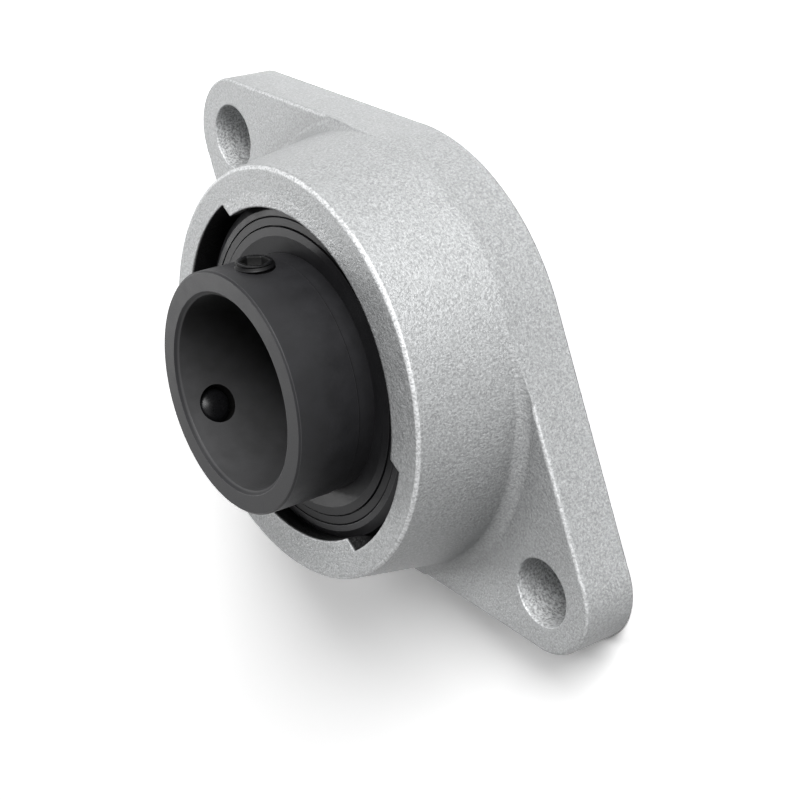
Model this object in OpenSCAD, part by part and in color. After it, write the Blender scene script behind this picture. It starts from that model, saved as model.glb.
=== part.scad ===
// Two-bolt flange bearing unit: a cast housing that holds an insert ball bearing.
// The origin lies on the bearing's axis, in the plane of the mounting face.
// +Z points out of the front, and X runs along the flange from bolt to bolt.

/* [Flange] */
// Distance between the two bolt holes
bolt_spacing = 157; // [152:0.5:170]
// Diameter of a bolt hole
bolt_hole_d = 18; // [12:0.5:20]
// Diameter of the flange's round end, around a bolt hole
lobe_d = 32.5; // [28:0.5:44]
// Thickness of the flange
flange_t = 15; // [10:0.5:18]
// Radius of the flange's front edge
flange_edge_r = 1; // [0.4:0.1:2]

/* [Boss] */
// Height of the boss's front face over the mounting face
boss_h = 43; // [42:0.5:47]
// Wall of the boss between the insert's outside and the front edge
boss_wall = 8.5; // [6:0.5:12]
// Growth of the boss's radius from the front face down to the flange
boss_flare = 4.5; // [2:0.5:5.5]
// Radius of the boss's front edge
boss_edge_r = 1.2; // [0.4:0.1:2]
// Radius of the fillet between the boss and the flange
boss_fillet_r = 4; // [2:0.5:6]
// Distance of the fillet's axis from the bearing's axis, along the arm
fillet_shift = 0.9; // [0:0.1:1.5]
// Distance of the mouth's wall inside the insert's radius
mouth_inset = 1.7; // [1:0.1:3]
// Distance of the loading slots' floor arc outside the insert's radius
slot_play = 2; // [1:0.1:4]
// Width of a loading slot
slot_w = 35; // [26:0.5:40]
// Distance of the rear opening's wall inside the insert's radius
back_inset = 1.7; // [1:0.1:3]
// Size of the chamfer round the opening in the mounting face
back_chamfer = 2; // [0.5:0.5:4]

/* [Insert bearing] */
// Height of the bearing's centre over the mounting face
insert_z = 28; // [26:0.5:29]
// Diameter of the outer ring's spherical outside
insert_d = 90; // [88:0.5:94]
// Width of the outer ring's corner chamfer, across the ring's face
outer_ring_chamfer = 1.8; // [0.8:0.1:2]
// Drop of the outer ring's corner chamfer
outer_ring_chamfer_drop = 1.1; // [0.5:0.1:2]
// Depth of the outer ring's raceway groove as a share of the ball's diameter
outer_groove_share = 0.189; // [0.15:0.003:0.21]
// Depth of the inner ring's raceway groove as a share of the ball's diameter
inner_groove_share = 0.181; // [0.15:0.003:0.21]
// Diameter of the shaft bore
shaft_d = 50; // [48:0.5:52]
// Depth of the step down to the stretch that holds the flingers and the raceway
inner_ring_step = 0.2; // [0.1:0.05:0.4]
// Distance from the flinger's rim to the step in front of it
inner_step_gap = 4; // [2:0.1:6]
// Length of the inner ring's front stretch
inner_head_len = 17.3; // [16:0.1:22]
// Length of the inner ring behind the outer ring's rear face
inner_rear_len = 8; // [4:0.1:10]
// Chamfer at both ends of the shaft bore
bore_chamfer = 1; // [0.4:0.1:1.5]
// Chamfer at both outer ends of the inner ring
inner_ring_chamfer = 0.5; // [0.2:0.1:1]

/* [Balls and cage] */
// Number of balls
ball_count = 10; // [8:1:10]
// Diameter of a ball as a share of the space between the bore and the insert's outside
ball_share = 0.3175; // [0.3:0.0025:0.325]
// Raceway groove radius as a share of the ball's diameter
groove_ratio = 0.52; // [0.515:0.005:0.53]
// Thickness of the cage's sheet
cage_t = 1; // [0.6:0.1:1.1]
// Room between the cage and each seal, along the axis
cage_room = 0.65; // [0.3:0.05:1.5]
// Radial width of the cage
cage_w = 4.4; // [3.6:0.1:4.8]
// Diameter of a rivet's shank
rivet_d = 1.8; // [1.2:0.1:2]
// Diameter of a rivet's head
rivet_head_d = 3; // [2.4:0.1:3.4]
// Height of a rivet's head
rivet_head_h = 0.6; // [0.3:0.1:0.8]

/* [Seals and flingers] */
// Radial depth of the recess in the outer ring that holds a seal
seal_seat_step = 1.3; // [0.8:0.1:1.6]
// Depth of that recess
seal_seat_depth = 2.8; // [2.4:0.1:3]
// Thickness of a seal's plate
seal_plate_t = 0.8; // [0.5:0.1:0.9]
// Radial width of the seal's ledge that shows in front
seal_ledge_w = 2.35; // [1.6:0.05:2.6]
// Thickness of that ledge
seal_ledge_t = 0.8; // [0.5:0.1:1]
// Thickness of the seal's outer wall
seal_wall_t = 0.9; // [0.6:0.1:1.2]
// Chamfer on the seal's outer front corner
seal_corner = 0.4; // [0.2:0.1:0.6]
// Thickness of a flinger's sheet
flinger_t = 0.8; // [0.5:0.1:0.8]
// Radial width of the flinger's flat rim
flinger_rim_w = 2.2; // [1.4:0.1:2.8]
// Drop from the flinger's rim to its foot on the inner ring
flinger_drop = 0.7; // [0.3:0.1:0.8]
// Height of the flinger's rim over the outer ring's face
flinger_lift = 0.3; // [0.1:0.1:0.6]

/* [Set screws] */
// Diameter of a set screw
screw_d = 10; // [8:0.5:10]
// Length of a set screw
screw_len = 7; // [6.4:0.1:9]
// Distance of the set screws' axes from the inner ring's front end
screw_inset = 9.6; // [7:0.1:11]
// Angle between the two set screws
screw_spread = 120; // [60:5:120]
// Angle by which the inner ring is turned from the X axis
ring_turn = 3.5; // [-15:0.5:15]
// Distance of the screw's tip from the bore's wall
tip_recess = 0.6; // [0.3:0.1:1.5]
// Radius of the screw's rounded tip
tip_r = 7.3; // [6:0.1:10]
// Width across the flats of the hexagon socket
socket_w = 6; // [4:0.5:6]
// Depth of the hexagon socket
socket_depth = 3.5; // [2:0.1:4]
// Chamfer round the screw's outer end
screw_chamfer = 0.5; // [0.2:0.1:1]

/* [Clearances] */
// Gap between the outer ring and its spherical seat
seat_gap = 0.05; // [0.02:0.01:0.1]
// Gap between a ball and each raceway
ball_gap = 0.05; // [0.01:0.01:0.05]
// Gap between a ball and its cage pocket
pocket_gap = 0.2; // [0.1:0.05:0.3]
// Gap at the pressed seats of the seals and flingers
press_gap = 0.02; // [0.01:0.01:0.05]
// Gap between a seal's lip and the inner ring
lip_gap = 0.1; // [0.05:0.05:0.3]
// Gap between the flinger's rim and the seal's ledge
rim_gap = 0.4; // [0.3:0.05:0.8]
// Gap round a set screw in its hole
thread_gap = 0.05; // [0.03:0.01:0.1]
// Gap round a rivet's shank in the cage
rivet_gap = 0.03; // [0.02:0.01:0.05]

/* [Hidden] */
$fn = 96;
through = 1;

insert_r = insert_d / 2;
seat_r = insert_r + seat_gap;
mouth_r = insert_r - mouth_inset;
back_r = insert_r - back_inset;
slot_r = insert_r + slot_play;
boss_front_r = insert_r + boss_wall;
// Radius of the flange's middle and of the boss's foot
flange_r = boss_front_r + boss_flare;

bolt_x = bolt_spacing / 2;
lobe_r = lobe_d / 2;
// Angle from the X axis at which the flange's straight sides touch its arcs
side_angle = acos((flange_r - lobe_r) / bolt_x);
side_len = bolt_x * sin(side_angle);
// Depth by which straight and round forms that meet at a tangent reach into each other
blend = 0.04;
// Edge radius of the straight sides, a little over that of the round ends, so that the two roundings cross
side_edge_r = 1.15 * flange_edge_r;

// Height at which the boss's draft starts
draft_z = flange_t + flange_edge_r / 2;
draft = atan(boss_flare / (boss_h - draft_z));

ball_d = ball_share * (insert_d - shaft_d);
ball_r = ball_d / 2;
ball_step = 360 / ball_count;
// Radius of the circle on which the balls run, halfway between the bore and the outside
pitch_r = (shaft_d + insert_d) / 4;
groove_r = groove_ratio * ball_d;
inner_groove_r = pitch_r - ball_r - ball_gap + groove_r;
outer_groove_r = pitch_r + ball_r + ball_gap - groove_r;
// Radius of the shoulders beside each raceway
inner_land_r = pitch_r - ball_r - ball_gap + inner_groove_share * ball_d;
outer_land_r = pitch_r + ball_r + ball_gap - outer_groove_share * ball_d;

// Radius of the inner ring's front stretch
inner_ring_r = inner_land_r + inner_ring_step;
// Half of the outer ring's width, which holds half the cage and one seal
outer_half_w = ball_r + pocket_gap + cage_t + cage_room + seal_seat_depth;
inner_head_z = insert_z + outer_half_w + flinger_lift + inner_step_gap;
inner_front_z = inner_head_z + inner_head_len;
inner_rear_z = insert_z - outer_half_w - inner_rear_len;

seal_seat_r = outer_land_r + seal_seat_step;
seal_outer_r = seal_seat_r - press_gap;
seal_ledge_r = seal_outer_r - seal_ledge_w;
flinger_r = seal_ledge_r - rim_gap;
flinger_foot_r = inner_land_r + press_gap;

screw_z = inner_front_z - screw_inset;
screw_tip_x = shaft_d / 2 + tip_recess;
screw_angles = [ring_turn - screw_spread / 2, ring_turn + screw_spread / 2];

cast_colour = [0.72, 0.74, 0.75];
ring_colour = [0.20, 0.20, 0.22];
seal_colour = [0.28, 0.28, 0.30];
ball_colour = [0.85, 0.86, 0.88];
cage_colour = [0.62, 0.60, 0.55];
screw_colour = [0.10, 0.10, 0.11];

fixed_nodes = ["housing", "outer_ring", "inner_ring", "front_seal", "rear_seal", "front_flinger",
    "rear_flinger", "cage_front", "cage_rear", "cage_rivets", "set_screw_1", "set_screw_2"];

function ball_name(i) = str("ball_", i < 10 ? "0" : "", i);

// Radius of the boss's drafted side at height z
function boss_side_r(z) = boss_front_r + (boss_h - z) * tan(draft);

// Section of a plate's rim of radius r, with its upper outer edge rounded
module rim_section(r, edge_r) {
    translate([r - 3 * edge_r, 0]) square([2 * edge_r, flange_t]);
    translate([r - 3 * edge_r, 0]) square([3 * edge_r, flange_t - edge_r]);
    translate([r - edge_r, flange_t - edge_r]) circle(edge_r);
}

// One arm of the oval flange: a plate with a rim round its end and a rim along each straight side.
// The plate reaches halfway into the rims, and its round end crosses its sides.
module flange_arm() {
    tip = [cos(side_angle), sin(side_angle)];
    near = (flange_r - 2 * side_edge_r) * tip;
    far = [bolt_x, 0] + (lobe_r - 2 * side_edge_r) * tip;
    linear_extrude(flange_t) {
        translate([bolt_x, 0]) circle(lobe_r - 1.5 * side_edge_r);
        polygon([near, far, [far[0], -far[1]], [near[0], -near[1]]]);
    }
    translate([bolt_x, 0, 0]) rotate_extrude() rim_section(lobe_r, flange_edge_r);
    for (side = [0, 1])
        mirror([0, side, 0])
            rotate([0, 0, side_angle])
                translate([flange_r - lobe_r - blend, 0, 0])
                    rotate([90, 0, 0])
                        linear_extrude(side_len) rim_section(lobe_r, side_edge_r);
}

// Round boss: straight over the flange's thickness, then drafted up to a rounded front edge
module boss() {
    side = [cos(draft), sin(draft)];
    edge_z = boss_h - boss_edge_r;
    edge = [boss_side_r(edge_z) - (boss_edge_r - blend) / side[0], edge_z];
    rotate_extrude() {
        polygon([[0, 0], [flange_r, 0], [flange_r, draft_z],
            edge + (boss_edge_r - blend) * side, [edge[0], boss_h], [0, boss_h]]);
        translate(edge) circle(boss_edge_r);
    }
}

// Fillet between the boss and one arm. It runs out over the arm's sides, and it is turned round an axis
// a little way along the arm, so that it sinks into the boss where the arm is no wider than the boss.
module boss_fillet() {
    side = [cos(draft), sin(draft)];
    middle_z = flange_t + boss_fillet_r - blend;
    middle = [boss_side_r(middle_z) + (boss_fillet_r - blend) / side[0] - fillet_shift, middle_z];
    inner = middle - (boss_fillet_r + through) * side;
    reach = flange_r - 2 * blend;
    tip = reach * [cos(side_angle), sin(side_angle)];
    intersection() {
        translate([fillet_shift, 0, 0])
            rotate_extrude()
                difference() {
                    polygon([[inner[0], flange_t / 2], [middle[0], flange_t / 2], middle, inner]);
                    translate(middle) circle(boss_fillet_r);
                }
        linear_extrude(boss_h)
            polygon([[0, 0], [tip[0], -tip[1]], [reach / cos(side_angle), 0], tip]);
    }
}

// One casting: flange, boss, spherical seat, mouth, loading slots and bolt holes
module housing() {
    color(cast_colour)
        difference() {
            union() {
                boss();
                for (turn = [0, 180])
                    rotate([0, 0, turn]) {
                        flange_arm();
                        boss_fillet();
                    }
            }
            translate([0, 0, insert_z]) sphere(seat_r);
            translate([0, 0, insert_z]) cylinder(h = boss_h - insert_z + through, r = mouth_r);
            translate([0, 0, -through]) cylinder(h = insert_z + through, r = back_r);
            translate([0, 0, -through])
                cylinder(h = back_chamfer + through, r1 = back_r + back_chamfer + through, r2 = back_r);
            intersection() {
                translate([0, 0, insert_z]) cylinder(h = boss_h - insert_z + through, r = slot_r);
                translate([-slot_r, -slot_w / 2, insert_z]) cube([2 * slot_r, slot_w, boss_h]);
            }
            for (side = [-1, 1])
                translate([side * bolt_x, 0, -through]) cylinder(h = flange_t + 2 * through, d = bolt_hole_d);
        }
}

// Raceway groove, for both rings: a torus round the bearing's axis
module groove(middle_r) {
    rotate_extrude() translate([middle_r, 0]) circle(groove_r);
}

// Outer ring: spherical outside, raceway inside, and a recess at each end for a seal
module outer_ring() {
    face_r = sqrt(pow(insert_r, 2) - pow(outer_half_w, 2)) - outer_ring_chamfer;
    slope = outer_ring_chamfer_drop / outer_ring_chamfer;
    reach = insert_r + through;
    corner_z = outer_half_w - (reach - face_r) * slope;
    color(ring_colour)
        translate([0, 0, insert_z])
            difference() {
                intersection() {
                    sphere(insert_r);
                    rotate_extrude()
                        polygon([[outer_land_r, -outer_half_w], [face_r, -outer_half_w], [reach, -corner_z],
                            [reach, corner_z], [face_r, outer_half_w], [outer_land_r, outer_half_w]]);
                }
                groove(outer_groove_r);
                for (end = [0, 1])
                    mirror([0, 0, end])
                        translate([0, 0, outer_half_w - seal_seat_depth])
                            cylinder(h = seal_seat_depth + through, r = seal_seat_r);
            }
}

// Inner ring: shaft bore, raceway, long front stretch and two tapped holes
module inner_ring() {
    bore_r = shaft_d / 2;
    color(ring_colour)
        difference() {
            rotate_extrude()
                polygon([
                    [bore_r, inner_rear_z + bore_chamfer], [bore_r + bore_chamfer, inner_rear_z],
                    [inner_land_r - inner_ring_chamfer, inner_rear_z],
                    [inner_land_r, inner_rear_z + inner_ring_chamfer],
                    [inner_land_r, inner_head_z], [inner_ring_r, inner_head_z],
                    [inner_ring_r, inner_front_z - inner_ring_chamfer],
                    [inner_ring_r - inner_ring_chamfer, inner_front_z],
                    [bore_r + bore_chamfer, inner_front_z], [bore_r, inner_front_z - bore_chamfer]]);
            translate([0, 0, insert_z]) groove(inner_groove_r);
            for (angle = screw_angles)
                rotate([0, 0, angle])
                    translate([0, 0, screw_z])
                        rotate([0, 90, 0]) cylinder(h = inner_ring_r + through, d = screw_d + 2 * thread_gap);
        }
}

// Seal, drawn as the front one with z = 0 at the outer ring's face:
// a wall against the outer ring, a ledge that shows, and a plate that reaches to the inner ring
module seal() {
    wall_r = seal_outer_r - seal_wall_t;
    lip_r = inner_land_r + lip_gap;
    rotate_extrude()
        polygon([[seal_outer_r, -seal_corner], [seal_outer_r - seal_corner, 0], [seal_ledge_r, 0],
            [seal_ledge_r, -seal_ledge_t], [wall_r, -seal_ledge_t],
            [wall_r, seal_plate_t - seal_seat_depth], [lip_r, seal_plate_t - seal_seat_depth],
            [lip_r, -seal_seat_depth], [seal_outer_r, -seal_seat_depth]]);
}

// Flinger, drawn as the front one with z = 0 at the outer ring's face:
// a flat rim and a dish that slopes down to its foot on the inner ring
module flinger() {
    dish_r = flinger_r - flinger_rim_w;
    foot_z = flinger_lift - flinger_drop;
    rotate_extrude()
        polygon([[flinger_r, flinger_lift], [dish_r, flinger_lift], [flinger_foot_r, foot_z],
            [flinger_foot_r, foot_z - flinger_t], [dish_r, flinger_lift - flinger_t],
            [flinger_r, flinger_lift - flinger_t]]);
}

// Places a piece that is drawn against the outer ring's face at the front or the rear of the bearing
module at_front() {
    translate([0, 0, insert_z + outer_half_w]) children();
}

module at_rear() {
    translate([0, 0, insert_z - outer_half_w]) mirror([0, 0, 1]) children();
}

module front_seal() {
    color(seal_colour) at_front() seal();
}

module rear_seal() {
    color(seal_colour) at_rear() seal();
}

module front_flinger() {
    color(seal_colour) at_front() flinger();
}

module rear_flinger() {
    color(seal_colour) at_rear() flinger();
}

// Places its children at every ball, or halfway between the balls for offset = 0.5
module round_pitch(offset) {
    for (i = [0:ball_count - 1])
        rotate([0, 0, (i + offset) * ball_step]) translate([pitch_r, 0, 0]) children();
}

// Half of the pressed cage, over z = 0: flat lands with a round pocket over each ball
module cage_half() {
    inner_r = pitch_r - cage_w / 2;
    difference() {
        intersection() {
            union() {
                cylinder(h = cage_t, r = inner_r + cage_w);
                round_pitch(0) sphere(ball_r + pocket_gap + cage_t);
            }
            rotate_extrude() translate([inner_r, 0]) square([cage_w, ball_d]);
        }
        round_pitch(0) sphere(ball_r + pocket_gap);
        round_pitch(0.5)
            translate([0, 0, -through]) cylinder(h = cage_t + 2 * through, d = rivet_d + 2 * rivet_gap);
    }
}

module cage_front() {
    color(cage_colour) translate([0, 0, insert_z]) cage_half();
}

module cage_rear() {
    color(cage_colour) translate([0, 0, insert_z]) mirror([0, 0, 1]) cage_half();
}

// One rivet between each two pockets, with a head on both halves of the cage
module cage_rivets() {
    color(cage_colour)
        translate([0, 0, insert_z])
            round_pitch(0.5) {
                cylinder(h = 2 * cage_t, d = rivet_d, center = true);
                for (side = [0, 1])
                    mirror([0, 0, side]) translate([0, 0, cage_t]) cylinder(h = rivet_head_h, d = rivet_head_d);
            }
}

// Ball number i, counted from 1 at the X axis
module ball(i) {
    color(ball_colour)
        rotate([0, 0, (i - 1) * ball_step]) translate([pitch_r, 0, insert_z]) sphere(ball_r);
}

// Set screw at the given angle: rounded tip towards the bore, hexagon socket in the outer end
module set_screw(angle) {
    outer_x = screw_tip_x + screw_len;
    color(screw_colour)
        rotate([0, 0, angle])
            translate([0, 0, screw_z])
                rotate([0, 90, 0])
                    difference() {
                        intersection() {
                            translate([0, 0, screw_tip_x]) {
                                cylinder(h = screw_len - screw_chamfer, d = screw_d);
                                translate([0, 0, screw_len - screw_chamfer])
                                    cylinder(h = screw_chamfer, d1 = screw_d, d2 = screw_d - 2 * screw_chamfer);
                            }
                            translate([0, 0, screw_tip_x + tip_r]) sphere(tip_r);
                        }
                        translate([0, 0, outer_x - socket_depth])
                            cylinder(h = socket_depth + through, d = socket_w / cos(30), $fn = 6);
                    }
}

module set_screw_1() {
    set_screw(screw_angles[0]);
}

module set_screw_2() {
    set_screw(screw_angles[1]);
}

housing();
outer_ring();
inner_ring();
front_seal();
rear_seal();
front_flinger();
rear_flinger();
cage_front();
cage_rear();
cage_rivets();
set_screw_1();
set_screw_2();
for (i = [1:ball_count])
    ball(i);
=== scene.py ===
"""Looks of the flange bearing unit: materials, screw threads, floor, light and camera."""
import math
import bmesh
import bpy
from mathutils import Matrix, Vector


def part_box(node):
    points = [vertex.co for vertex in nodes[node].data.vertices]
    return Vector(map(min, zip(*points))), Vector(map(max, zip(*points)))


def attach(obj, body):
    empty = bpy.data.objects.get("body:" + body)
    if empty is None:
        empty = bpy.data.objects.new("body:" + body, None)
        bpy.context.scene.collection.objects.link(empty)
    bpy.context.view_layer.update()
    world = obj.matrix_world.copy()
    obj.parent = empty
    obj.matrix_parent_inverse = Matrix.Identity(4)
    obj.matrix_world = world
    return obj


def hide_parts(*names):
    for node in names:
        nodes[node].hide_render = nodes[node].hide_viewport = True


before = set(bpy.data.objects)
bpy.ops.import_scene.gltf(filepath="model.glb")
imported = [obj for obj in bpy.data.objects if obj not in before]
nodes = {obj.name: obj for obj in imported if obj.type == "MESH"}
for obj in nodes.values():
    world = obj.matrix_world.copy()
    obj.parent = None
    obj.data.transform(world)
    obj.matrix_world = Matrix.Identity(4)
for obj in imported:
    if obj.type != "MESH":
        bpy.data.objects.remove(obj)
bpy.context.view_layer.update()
MM = 0.001

# Set screws, as in the solids: the angles of their axes, their height and how far out their tips are
SCREW_ANGLES = (math.radians(-56.5), math.radians(63.5))
SCREW_Z = (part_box("set_screw_1")[0][2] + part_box("set_screw_1")[1][2]) / 2
TIP_X = 25.6 * MM
SOCKET_TURN = math.radians(30)

# Masks by place fade over these ranges, in mm. R is a distance from the bearing's axis, or from the
# axis of the hole or screw in the name. Z is a height over the mounting face, or over the screw's tip.
# Reach of the painted highlights on the front edges of boss and flange
BOSS_RIM_R, BOSS_RIM_Z = (52.6, 52.9), (42.15, 42.4)
FLANGE_RIM_R, FLANGE_RIM_Z, FLANGE_FACE_Z = (61, 62), (14.35, 14.55), (14.85, 14.95)
MILLED_Z, TURNED_R = (0.02, 0.1), (46.9, 47.3)
# Reach of the painted shade inside the boss
INSIDE_SHADE_R, INSIDE_SHADE_FOOT_Z, INSIDE_SHADE_TOP_Z = (49.8, 50.0), (3, 6), (42.3, 42.9)
BOLT_HOLE_X, BOLT_HOLE_R = 78.5, (9.04, 9.08)
BORE_R = (25.2, 25.5)
STEP_R, STEP_FOOT_Z, STEP_TOP_Z = (30, 30.3), (43.0, 43.12), (43.34, 43.38)
TAPPED_HOLE_R = (5.06, 5.12)
SOCKET_R, SOCKET_Z = (3.40, 3.50), 2
THREAD_ROOT_R, THREAD_CREST_R, THREAD_Z = (4.3, 4.4), (4.80, 4.95), (1, 6.4)

# The floor's share of light sent back to the part, and its whiteness for the eye; the sky's light
FLOOR_BOUNCE, FLOOR_WHITE, SKY_LIGHT, SKY_WHITE = 0.12, 1.75, 0.015, 1.0
FLOOR_SIZE, FLOOR_DROP = 1.2, 0.2 * MM

# Soft boxes: azimuth from +X and elevation in degrees, width and height in metres, power in watts
LAMPS = {
    "key": (-89, 20, 1.8, 1.7, 136),
    "upper": (-48, 55, 1.4, 1.4, 16),
    "back": (44, 30, 0.7, 0.7, 22),
}
LAMP_TARGET, LAMP_DISTANCE = Vector((0, 0, 0.02)), 3

# The photo's camera, fitted to the outlines: lens in mm, place in metres, and two of its directions
LENS = 79.61
EYE = (-0.1927, -0.3344, 0.2670)
RIGHT = Vector((-0.5144, -0.3209, -0.7953))
FORWARD = Vector((0.3900, 0.7384, -0.5502))


def screw_place(angle, distance=0.0):
    """Matrix of a place on a set screw's axis, distance away from the bearing's; z points outwards."""
    axis = Vector((math.cos(angle), math.sin(angle), 0))
    turn = axis.to_track_quat("Z", "Y").to_matrix().to_4x4()
    return Matrix.Translation(Vector((0, 0, SCREW_Z)) + axis * distance) @ turn


# Materials

class Shader:
    """A node material with a Principled surface, and short ways to add nodes to it."""

    def __init__(self, name):
        self.material = bpy.data.materials.new(name)
        self.material.use_nodes = True
        self.tree = self.material.node_tree
        self.surface = self.tree.nodes["Principled BSDF"]
        self.place = self.add("ShaderNodeTexCoord").outputs["Object"]

    def add(self, kind, **values):
        """New node; each value goes to the input or the setting of that name."""
        node = self.tree.nodes.new(kind)
        for key, value in values.items():
            if key in node.inputs:
                node.inputs[key].default_value = value
            else:
                setattr(node, key, value)
        return node

    def link(self, output, socket):
        self.tree.links.new(output, socket)

    def feed(self, socket, value):
        """Gives a socket a colour, a number or an output."""
        if isinstance(value, tuple):
            socket.default_value = (*value, 1)
        elif isinstance(value, (int, float)):
            socket.default_value = value
        else:
            self.link(value, socket)

    def set(self, **values):
        """Gives the surface's sockets colours, numbers or outputs."""
        for key, value in values.items():
            self.feed(self.surface.inputs[key.replace("_", " ")], value)

    # Numbers

    def math(self, operation, *values):
        node = self.add("ShaderNodeMath", operation=operation)
        for socket, value in zip(node.inputs, values):
            self.feed(socket, value)
        return node.outputs["Value"]

    def times(self, value, *factors):
        for factor in factors:
            value = self.math("MULTIPLY", value, factor)
        return value

    def length(self, a, b):
        """Length of the vector (a, b)."""
        return self.math("SQRT", self.math("ADD", self.times(a, a), self.times(b, b)))

    def remap(self, value, low, high, to_low, to_high):
        """The range from low to high taken to the range from to_low to to_high, and no further."""
        node = self.add("ShaderNodeMapRange", clamp=True)
        for socket, number in zip(node.inputs[1:5], (low, high, to_low, to_high)):
            socket.default_value = number
        self.link(value, node.inputs["Value"])
        return node.outputs["Result"]

    def over(self, value, range_mm):
        """0 under a range, 1 over it."""
        return self.remap(value, range_mm[0] * MM, range_mm[1] * MM, 0, 1)

    def under(self, value, range_mm):
        """1 under a range, 0 over it."""
        return self.remap(value, range_mm[0] * MM, range_mm[1] * MM, 1, 0)

    # Places

    def parts(self, place=None):
        """The x, y and z outputs of a place; the object's own place if none is given."""
        node = self.add("ShaderNodeSeparateXYZ")
        self.link(place or self.place, node.inputs["Vector"])
        return tuple(node.outputs)

    def seen_from(self, matrix):
        """The x, y and z outputs of the object's place in the frame that a matrix stands for."""
        back = matrix.inverted()
        node = self.add("ShaderNodeMapping", Location=back.translation, Rotation=back.to_euler())
        self.link(self.place, node.inputs["Vector"])
        return self.parts(node.outputs["Vector"])

    def edges(self, radius_mm, start=0.0005, full=0.02):
        """1 near the outer edges of the surface, 0 elsewhere.

        It fades in as the cosine between the rounded and the plain normal drops by start to full.
        """
        dot = self.add("ShaderNodeVectorMath", operation="DOT_PRODUCT")
        self.link(self.rounded(radius_mm), dot.inputs[0])
        self.link(self.add("ShaderNodeNewGeometry").outputs["Normal"], dot.inputs[1])
        return self.remap(dot.outputs["Value"], 1 - start, 1 - full, 0, 1)

    # Patterns, colours and relief

    def noise(self, size_mm, detail=2, rough=0.55, stretch=None):
        """Noise whose blobs are about size_mm across; stretch squeezes it along each axis."""
        node = self.add("ShaderNodeTexNoise", Scale=1 / (size_mm * MM), Detail=detail, Roughness=rough)
        place = self.place
        if stretch:
            mapping = self.add("ShaderNodeMapping", Scale=stretch)
            self.link(place, mapping.inputs["Vector"])
            place = mapping.outputs["Vector"]
        self.link(place, node.inputs["Vector"])
        return node.outputs["Fac"]

    def cells(self, size_mm):
        """Soft round cells about size_mm across."""
        node = self.add("ShaderNodeTexVoronoi", feature="SMOOTH_F1", Scale=1 / (size_mm * MM))
        self.link(self.place, node.inputs["Vector"])
        return node.outputs["Distance"]

    def mix(self, share, a, b):
        """Mix of two colours; each is a colour or an output."""
        node = self.add("ShaderNodeMix", data_type="RGBA")
        self.link(share, node.inputs["Factor"])
        colour_a, colour_b, result = node.inputs[6], node.inputs[7], node.outputs[2]
        self.feed(colour_a, a)
        self.feed(colour_b, b)
        return result

    def mottle(self, pattern, a, b):
        """Two colours in a noise pattern."""
        return self.mix(self.remap(pattern, 0.3, 0.7, 0, 1), a, b)

    def bump(self, height, depth_mm, strength, under=None):
        """Normal of the surface with a relief; under is the normal that it lies on."""
        node = self.add("ShaderNodeBump", Strength=strength, Distance=depth_mm * MM)
        self.link(height, node.inputs["Height"])
        if under:
            self.link(under, node.inputs["Normal"])
        return node.outputs["Normal"]

    def rounded(self, radius_mm, samples=4):
        """Normal of the surface with its sharp edges rounded."""
        return self.add("ShaderNodeBevel", samples=samples, Radius=radius_mm * MM).outputs["Normal"]


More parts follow.
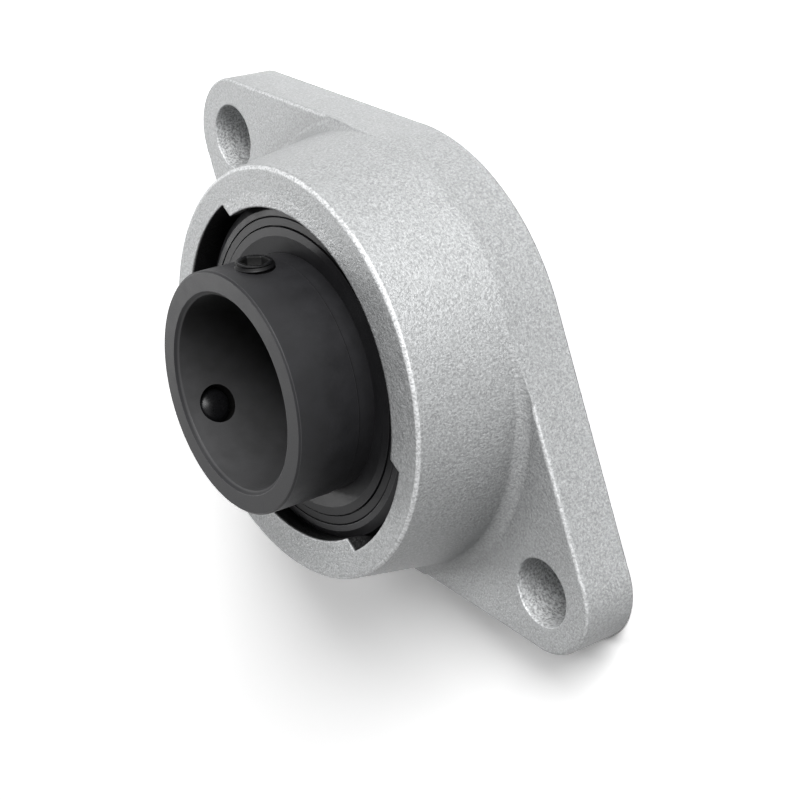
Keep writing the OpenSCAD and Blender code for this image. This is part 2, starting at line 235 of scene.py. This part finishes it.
def cast_housing():
    """Pale sand-cast iron with machined faces; painted shade inside the boss and in its hollows, and
    painted highlights on its front edges.
    """
    pit, grain_top, patch = (0.27, 0.275, 0.278), (0.60, 0.612, 0.618), (0.40, 0.41, 0.415)
    cut_dark, cut_pale, cut_rough = (0.50, 0.51, 0.52), (0.60, 0.61, 0.62), (0.36, 0.36, 0.36)
    # Colours of the painted shade in the hollows, the painted highlight on the front edges, and the drilled
    # walls
    hollow_shade, rim_highlight, drilled = (0.10, 0.10, 0.10), (0.86, 0.87, 0.88), (0.90, 0.91, 0.92)
    # Colour of the painted shade inside the boss
    inside_shade = (0.006, 0.006, 0.0065)
    shade_reach, flange_rim_share = 16, 0.55

    s = Shader("cast_housing")
    x, y, z = s.parts()
    radius = s.length(x, y)
    sand = s.noise(0.30, rough=0.7)
    grain = s.noise(0.62, detail=3, rough=0.65)
    pits = s.cells(1.1)
    patches = s.noise(8, detail=3)
    swell = s.noise(24)
    # Cast skin: a fine sharp grain, in patches
    speck = s.times(s.remap(grain, 0.36, 0.64, 0, 1), s.remap(sand, 0.30, 0.70, 0.25, 1))
    colour = s.mix(speck, pit, grain_top)
    colour = s.mix(s.remap(patches, 0.35, 0.75, 0, 0.25), colour, patch)
    # Painted shade: the colour is darkened where ambient occlusion finds the housing hollow, most between
    # boss and flange
    occlusion = s.add("ShaderNodeAmbientOcclusion", samples=6, only_local=True, Distance=shade_reach * MM)
    colour = s.mix(s.remap(occlusion.outputs["AO"], 0.45, 0.95, 0.55, 0), colour, hollow_shade)
    # Painted highlight: the front edges of boss and flange are painted paler, as if lit
    boss_rim = s.times(s.over(z, BOSS_RIM_Z), s.over(radius, BOSS_RIM_R))
    flange_rim = s.times(s.over(z, FLANGE_RIM_Z), s.under(z, FLANGE_FACE_Z), s.over(radius, FLANGE_RIM_R))
    rims = s.math("MAXIMUM", boss_rim, s.times(flange_rim, flange_rim_share))
    colour = s.mix(s.times(rims, s.remap(grain, 0.4, 0.6, 0.25, 0.75)), colour, rim_highlight)
    # The drilled walls of the bolt holes are paler too
    from_bolt = s.length(s.math("SUBTRACT", s.math("ABSOLUTE", x), BOLT_HOLE_X * MM), y)
    walls = s.times(s.under(from_bolt, BOLT_HOLE_R), s.remap(grain, 0.40, 0.60, 0.05, 0.55))
    colour = s.mix(walls, colour, drilled)
    # Mounting face, milled along the flange
    milled = s.under(z, MILLED_Z)
    colour = s.mix(milled, colour, s.mottle(s.noise(1.6, rough=0.5, stretch=(8, 1, 1)), cut_dark, cut_pale))
    # Painted shade: the seat and the loading slots are painted near black, up to just behind the front face
    inside_shade_mask = s.times(s.under(radius, INSIDE_SHADE_R), s.under(z, INSIDE_SHADE_TOP_Z), s.over(z, INSIDE_SHADE_FOOT_Z))
    colour = s.mix(inside_shade_mask, colour, inside_shade)
    # All that is turned or milled is smoother than the skin
    smooth = s.math("MAXIMUM", milled, s.under(radius, TURNED_R))
    rough = s.mix(smooth, s.remap(grain, 0.35, 0.65, 0.34, 0.54), cut_rough)
    # Relief, coarse to fine: the height, its depth in mm and its strength
    relief = (swell, 0.25, 0.4), (pits, 0.12, 0.6), (grain, 0.20, 0.9), (sand, 0.10, 0.9)
    normal = s.rounded(0.7, samples=8)
    for height, depth, strength in relief:
        normal = s.bump(height, depth, strength, normal)
    s.set(Base_Color=colour, Metallic=0.3, Roughness=rough, Normal=normal)
    return s.material


def in_screw_holes(s):
    """1 inside the two tapped holes, 0 elsewhere."""
    holes = []
    for angle in SCREW_ANGLES:
        x, y, z = s.seen_from(screw_place(angle))
        holes.append(s.times(s.under(s.length(x, y), TAPPED_HOLE_R), s.math("GREATER_THAN", z, 0)))
    return s.math("MAXIMUM", *holes)


def black_ring():
    """Blackened steel, turned on a lathe, with paler edges and a paler bore: partly its ground finish,
    partly painted light falling into it.
    """
    dark, pale, edge = (0.0165, 0.0165, 0.0178), (0.0205, 0.0205, 0.0225), (0.06, 0.06, 0.063)
    bore_lit_dark, bore_lit_pale, shadow = (0.048, 0.048, 0.049), (0.058, 0.058, 0.060), (0.003, 0.003, 0.003)
    marks_per_metre, step_share = 3500, 0.8

    s = Shader("black_ring")
    x, y, z = s.parts()
    radius = s.length(x, y)
    fine = s.noise(0.35)
    clouds = s.noise(5, detail=4)
    colour = s.mottle(clouds, dark, pale)
    # The bore is painted paler: partly its ground finish, partly painted light falling into it
    colour = s.mix(s.under(radius, BORE_R), colour, s.mottle(clouds, bore_lit_dark, bore_lit_pale))
    colour = s.mix(s.edges(0.3), colour, edge)
    # Painted shadow: a dark line in the corner of the ring's step, and painted shade inside the tapped
    # holes
    step = s.times(s.over(z, STEP_FOOT_Z), s.under(z, STEP_TOP_Z), s.over(radius, STEP_R), step_share)
    colour = s.mix(step, colour, shadow)
    colour = s.mix(in_screw_holes(s), colour, shadow)
    rough = s.math("ADD", s.remap(clouds, 0.3, 0.7, 0.40, 0.50), s.remap(fine, 0.3, 0.7, -0.05, 0.05))
    # Turning marks run round the axis
    place = s.add("ShaderNodeCombineXYZ")
    s.link(radius, place.inputs["X"])
    s.link(z, place.inputs["Y"])
    marks = s.add("ShaderNodeTexNoise", noise_dimensions="2D", Scale=marks_per_metre, Detail=2)
    s.link(place.outputs["Vector"], marks.inputs["Vector"])
    normal = s.bump(marks.outputs["Fac"], 0.012, 0.35, s.rounded(0.25))
    normal = s.bump(fine, 0.02, 0.3, normal)
    s.set(Base_Color=colour, Metallic=0.05, Roughness=rough, Specular_IOR_Level=0.24, Normal=normal)
    return s.material


def black_sheet():
    """Pressed black sheet of the seals and flingers."""
    dark, pale, edge = (0.010, 0.010, 0.011), (0.016, 0.016, 0.0175), (0.030, 0.030, 0.032)

    s = Shader("black_sheet")
    fine = s.noise(0.3)
    colour = s.mix(s.edges(0.2), s.mottle(s.noise(7, detail=3), dark, pale), edge)
    rough = s.remap(fine, 0.3, 0.7, 0.38, 0.48)
    normal = s.bump(fine, 0.015, 0.3, s.rounded(0.15))
    s.set(Base_Color=colour, Metallic=0.05, Roughness=rough, Specular_IOR_Level=0.18, Normal=normal)
    return s.material


def black_screw():
    """Black oxide steel, with painted shade in the socket and along the thread."""
    dark, pale, edge = (0.004, 0.004, 0.0045), (0.008, 0.008, 0.009), (0.010, 0.010, 0.011)
    recess_shade, recess_rough, outer_thread_share = (0.001, 0.001, 0.001), 0.35, 0.6

    s = Shader("black_screw")
    x, y, z = s.parts()
    radius = s.length(x, y)
    fine = s.noise(0.4)
    colour = s.mix(s.edges(0.2), s.mottle(fine, dark, pale), edge)
    # Painted shade: the socket and the thread are painted near black and rougher, the thread most near the
    # tip
    socket = s.times(s.under(radius, SOCKET_R), s.math("GREATER_THAN", z, SOCKET_Z * MM))
    thread = s.times(s.under(radius, THREAD_CREST_R), s.over(radius, THREAD_ROOT_R))
    start, end = THREAD_Z
    thread = s.times(thread, s.remap(z, start * MM, end * MM, 1, outer_thread_share))
    recess_mask = s.math("MAXIMUM", socket, thread)
    colour = s.mix(recess_mask, colour, recess_shade)
    rough = s.math("ADD", s.remap(fine, 0.3, 0.7, 0.26, 0.36), s.times(recess_mask, recess_rough))
    normal = s.bump(fine, 0.01, 0.25, s.rounded(0.12))
    s.set(Base_Color=colour, Metallic=0.1, Roughness=rough, Specular_IOR_Level=0.2, Normal=normal)
    return s.material


def bright_steel(name, colour, rough):
    """Bare steel in slightly uneven tones."""
    shade, smoother, rougher = 0.86, 0.8, 1.25
    dark = tuple(c * shade for c in colour)

    s = Shader(name)
    fine = s.noise(0.6, detail=3)
    tone = s.mottle(s.noise(4, detail=3), dark, colour)
    uneven = s.remap(fine, 0.3, 0.7, rough * smoother, rough * rougher)
    s.set(Base_Color=tone, Metallic=1.0, Roughness=uneven, Normal=s.bump(fine, 0.01, 0.2))
    return s.material


def give(material, *names):
    for name in names:
        slots = nodes[name].data.materials
        slots.clear()
        slots.append(material)


# Set screws

def screw_mesh(name):
    """M10 set screw along z, tip at z = 0: rounded tip, cut thread, chamfer and hexagon socket."""
    length, radius, chamfer = 7 * MM, 5 * MM, 0.5 * MM
    pitch, thread_depth, flat_share = 1.5 * MM, 0.58 * MM, 0.12
    tip_radius, dome_radius, lead_in = 7.3 * MM, 3.9 * MM, 0.9
    socket_width, socket_depth, drill_point = 6 * MM, 3.5 * MM, 0.9 * MM
    mouth_growth = 0.06
    around, dome_rows, thread_rows = 96, 8, 72
    sharp = math.radians(32)

    def tip(r):
        """Height of the rounded tip at a distance from the axis."""
        return tip_radius - math.sqrt(tip_radius ** 2 - r ** 2)

    dome = tip(dome_radius)

    def outside(angle, z):
        """Radius of the thread inside the chamfer of the outer end and the cone behind the tip."""
        wave = abs(((z / pitch - angle / (2 * math.pi)) % 1) * 2 - 1)
        groove = min(max((wave - flat_share) / (1 - 2 * flat_share), 0), 1)
        cone = dome_radius + (z - dome) * lead_in
        return min(radius - thread_depth * groove, radius - chamfer + (length - z), cone)

    def hexagon(angle):
        """Distance of the socket's wall from the axis."""
        return socket_width / 2 / math.cos((angle + math.pi / 6) % (math.pi / 3) - math.pi / 6)

    # Rings of (distance from the axis, height), from the tip over the thread and down into the socket
    angles = [2 * math.pi * i / around for i in range(around)]
    rings = []
    for k in range(1, dome_rows + 1):
        r = dome_radius * k / dome_rows
        rings.append([(r, tip(r))] * around)
    for k in range(1, thread_rows + 1):
        z = dome + (length - dome) * k / thread_rows
        rings.append([(outside(a, z), z) for a in angles])
    for growth, drop in (mouth_growth, 0), (0, mouth_growth * socket_width), (0, socket_depth):
        rings.append([(hexagon(a) * (1 + growth), length - drop) for a in angles])

    mesh = bmesh.new()
    loops = [[mesh.verts.new((r * math.cos(a), r * math.sin(a), z)) for a, (r, z) in zip(angles, ring)]
             for ring in rings]
    tip_point = mesh.verts.new((0, 0, 0))
    socket_point = mesh.verts.new((0, 0, length - socket_depth - drill_point))
    for lower, upper in zip(loops, loops[1:]):
        for i in range(around):
            j = (i + 1) % around
            mesh.faces.new((lower[i], lower[j], upper[j], upper[i]))
    for i in range(around):
        j = (i + 1) % around
        mesh.faces.new((tip_point, loops[0][j], loops[0][i]))
        mesh.faces.new((socket_point, loops[-1][i], loops[-1][j]))
    for face in mesh.faces:
        face.smooth = True
    for edge in mesh.edges:
        if edge.is_manifold and edge.calc_face_angle(0) > sharp:
            edge.smooth = False
    data = bpy.data.meshes.new(name)
    mesh.to_mesh(data)
    mesh.free()
    return data


def set_screw(node, angle, material):
    """Threaded screw in the place of a plain one; it rides on the same body."""
    piece = bpy.data.objects.new(node + "_threaded", screw_mesh(node + "_threaded"))
    bpy.context.scene.collection.objects.link(piece)
    piece.matrix_world = screw_place(angle, TIP_X) @ Matrix.Rotation(SOCKET_TURN, 4, "Z")
    piece.data.materials.append(material)
    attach(piece, node)
    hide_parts(node)


# Floor, light and camera

def seen(tree, low, high):
    """A strength: high for the eye and for mirrors, low for other light."""
    path = tree.nodes.new("ShaderNodeLightPath")
    value = path.outputs["Is Camera Ray"]
    for name in ("Is Glossy Ray", "Is Transmission Ray"):
        either = tree.nodes.new("ShaderNodeMath")
        either.operation = "MAXIMUM"
        tree.links.new(value, either.inputs[0])
        tree.links.new(path.outputs[name], either.inputs[1])
        value = either.outputs[0]
    level = tree.nodes.new("ShaderNodeMapRange")
    level.inputs["To Min"].default_value = low
    level.inputs["To Max"].default_value = high
    tree.links.new(value, level.inputs["Value"])
    return level.outputs["Result"]


def floor():
    """Plain white floor: it keeps the shadow, and sends little light back up."""
    bpy.ops.mesh.primitive_plane_add(size=FLOOR_SIZE, location=(0, 0, -FLOOR_DROP))
    plane = bpy.context.object
    plane.name = "floor"
    material = bpy.data.materials.new("floor")
    material.use_nodes = True
    tree = material.node_tree
    tree.nodes.remove(tree.nodes["Principled BSDF"])
    matt = tree.nodes.new("ShaderNodeBsdfDiffuse")
    tree.links.new(seen(tree, FLOOR_BOUNCE, FLOOR_WHITE), matt.inputs["Color"])
    tree.links.new(matt.outputs["BSDF"], tree.nodes["Material Output"].inputs["Surface"])
    plane.data.materials.append(material)


def sky():
    """White world for the eye, and a faint even light for the part."""
    world = bpy.data.worlds.new("studio")
    bpy.context.scene.world = world
    world.use_nodes = True
    tree = world.node_tree
    background = tree.nodes["Background"]
    tree.links.new(seen(tree, SKY_LIGHT, SKY_WHITE), background.inputs["Strength"])
    background.inputs["Color"].default_value = (1, 1, 1, 1)


def lamp(name, azimuth, elevation, width, height, power):
    """Soft box that faces the part from a direction."""
    data = bpy.data.lights.new(name, "AREA")
    data.shape = "RECTANGLE"
    data.size = width
    data.size_y = height
    data.energy = power
    light = bpy.data.objects.new(name, data)
    bpy.context.scene.collection.objects.link(light)
    turn, rise = math.radians(azimuth), math.radians(elevation)
    direction = Vector((math.cos(turn) * math.cos(rise), math.sin(turn) * math.cos(rise), math.sin(rise)))
    light.location = LAMP_TARGET + direction * LAMP_DISTANCE
    light.rotation_mode = "QUATERNION"
    light.rotation_quaternion = direction.to_track_quat("Z", "Y")


def camera():
    data = bpy.data.cameras.new("camera")
    data.lens = LENS
    data.clip_start = 10 * MM
    eye = bpy.data.objects.new("camera", data)
    bpy.context.scene.collection.objects.link(eye)
    forward = FORWARD.normalized()
    up = RIGHT.cross(forward).normalized()
    right = forward.cross(up)
    turn = Matrix((right, up, -forward)).transposed().to_4x4()
    eye.matrix_world = Matrix.Translation(EYE) @ turn
    bpy.context.scene.camera = eye


give(cast_housing(), "housing")
give(black_ring(), "outer_ring", "inner_ring")
give(black_sheet(), "front_seal", "rear_seal", "front_flinger", "rear_flinger")
screw_black = black_screw()
set_screw("set_screw_1", SCREW_ANGLES[0], screw_black)
set_screw("set_screw_2", SCREW_ANGLES[1], screw_black)
give(screw_black, "set_screw_1", "set_screw_2")
give(bright_steel("cage_sheet", (0.60, 0.57, 0.50), 0.35), "cage_front", "cage_rear", "cage_rivets")
give(bright_steel("ball_steel", (0.80, 0.81, 0.83), 0.1), *(n for n in nodes if n.startswith("ball_")))
floor()
sky()
for lamp_name, values in LAMPS.items():
    lamp(lamp_name, *values)
camera()
bpy.context.scene.view_settings.view_transform = "Standard"
